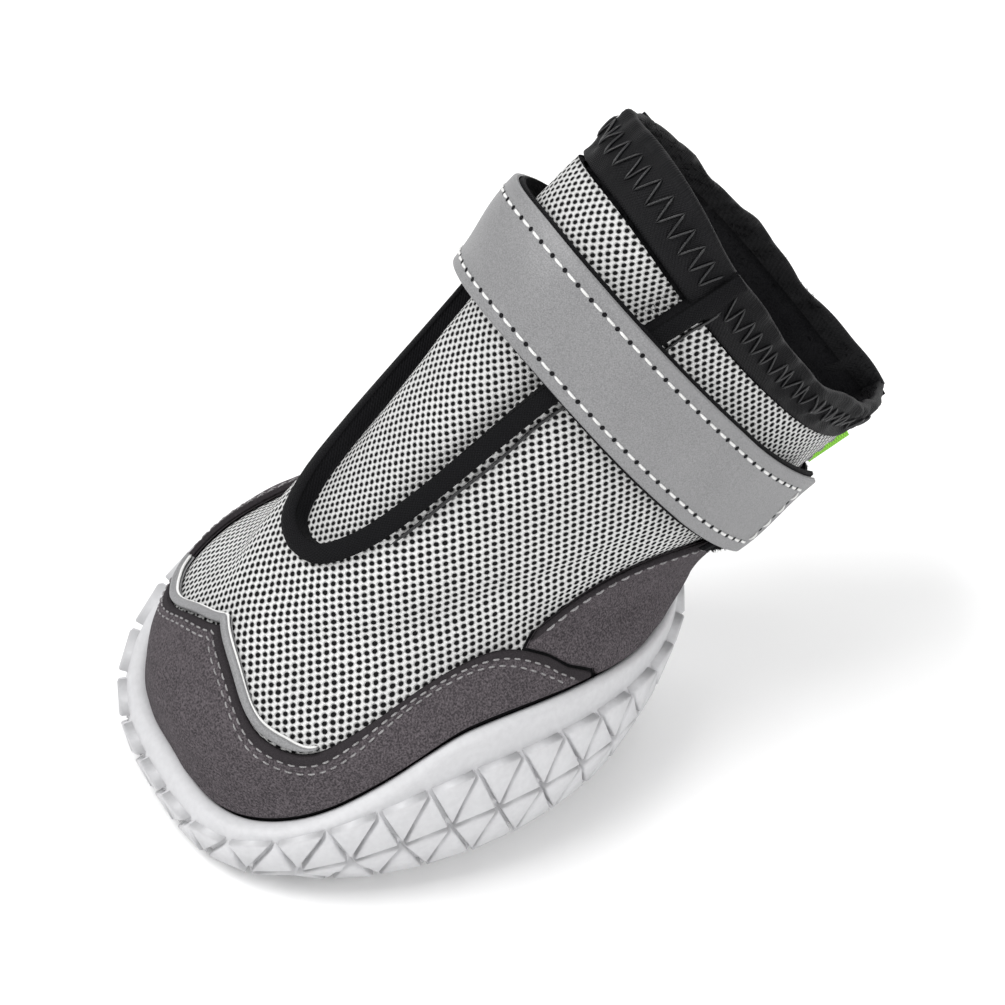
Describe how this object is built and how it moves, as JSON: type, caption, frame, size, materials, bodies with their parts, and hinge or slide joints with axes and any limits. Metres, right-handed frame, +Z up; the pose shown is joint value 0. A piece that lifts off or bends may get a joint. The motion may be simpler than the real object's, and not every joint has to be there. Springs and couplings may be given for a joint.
{
  "type": "dog boot",
  "caption": "Hollow dog boot: lugged rubber cup sole, mesh upper with a bound U throat and tongue, suede rand and counter, stretch collar and a wraparound strap.",
  "frame": {"origin": "centre of the middle tread pad's face on the floor, on the boot's middle plane", "axes": "+Z up from the floor, -Y towards the toe, +Y towards the heel, +X towards the side that carries the strap's free end"},
  "size_m": [0.0732, 0.1353, 0.1102],
  "materials": {
    "sole_rubber": "matt moulded rubber, off-white",
    "air_mesh": "light grey open-hole spacer mesh",
    "insole_foam": "fabric-faced foam, black",
    "collar_knit": "black stretch knit with zigzag stitching",
    "suede": "dark warm-grey napped microsuede",
    "reflective_trim": "grey retroreflective piping",
    "black_webbing": "black ribbed tape",
    "tab_weave": "plain green woven tab",
    "reflective_strap": "grey retroreflective fabric",
    "loop_pile": "black brushed loop pile"
  },
  "bodies": {
    "root": {"outsole": "sole_rubber", "upper": "air_mesh", "insole": "insole_foam", "tongue": "air_mesh", "collar_tongue": "collar_knit", "collar_quarter": "collar_knit", "toe_rand": "suede", "heel_counter": "suede", "toe_piping": "reflective_trim", "throat_binding": "black_webbing", "seam_tape": "black_webbing", "heel_tab": "tab_weave", "strap_face": "reflective_strap", "strap_backing": "loop_pile", "loop_tape": "loop_pile", "heel_webbing": "black_webbing"}
  },
  "joints": []
}
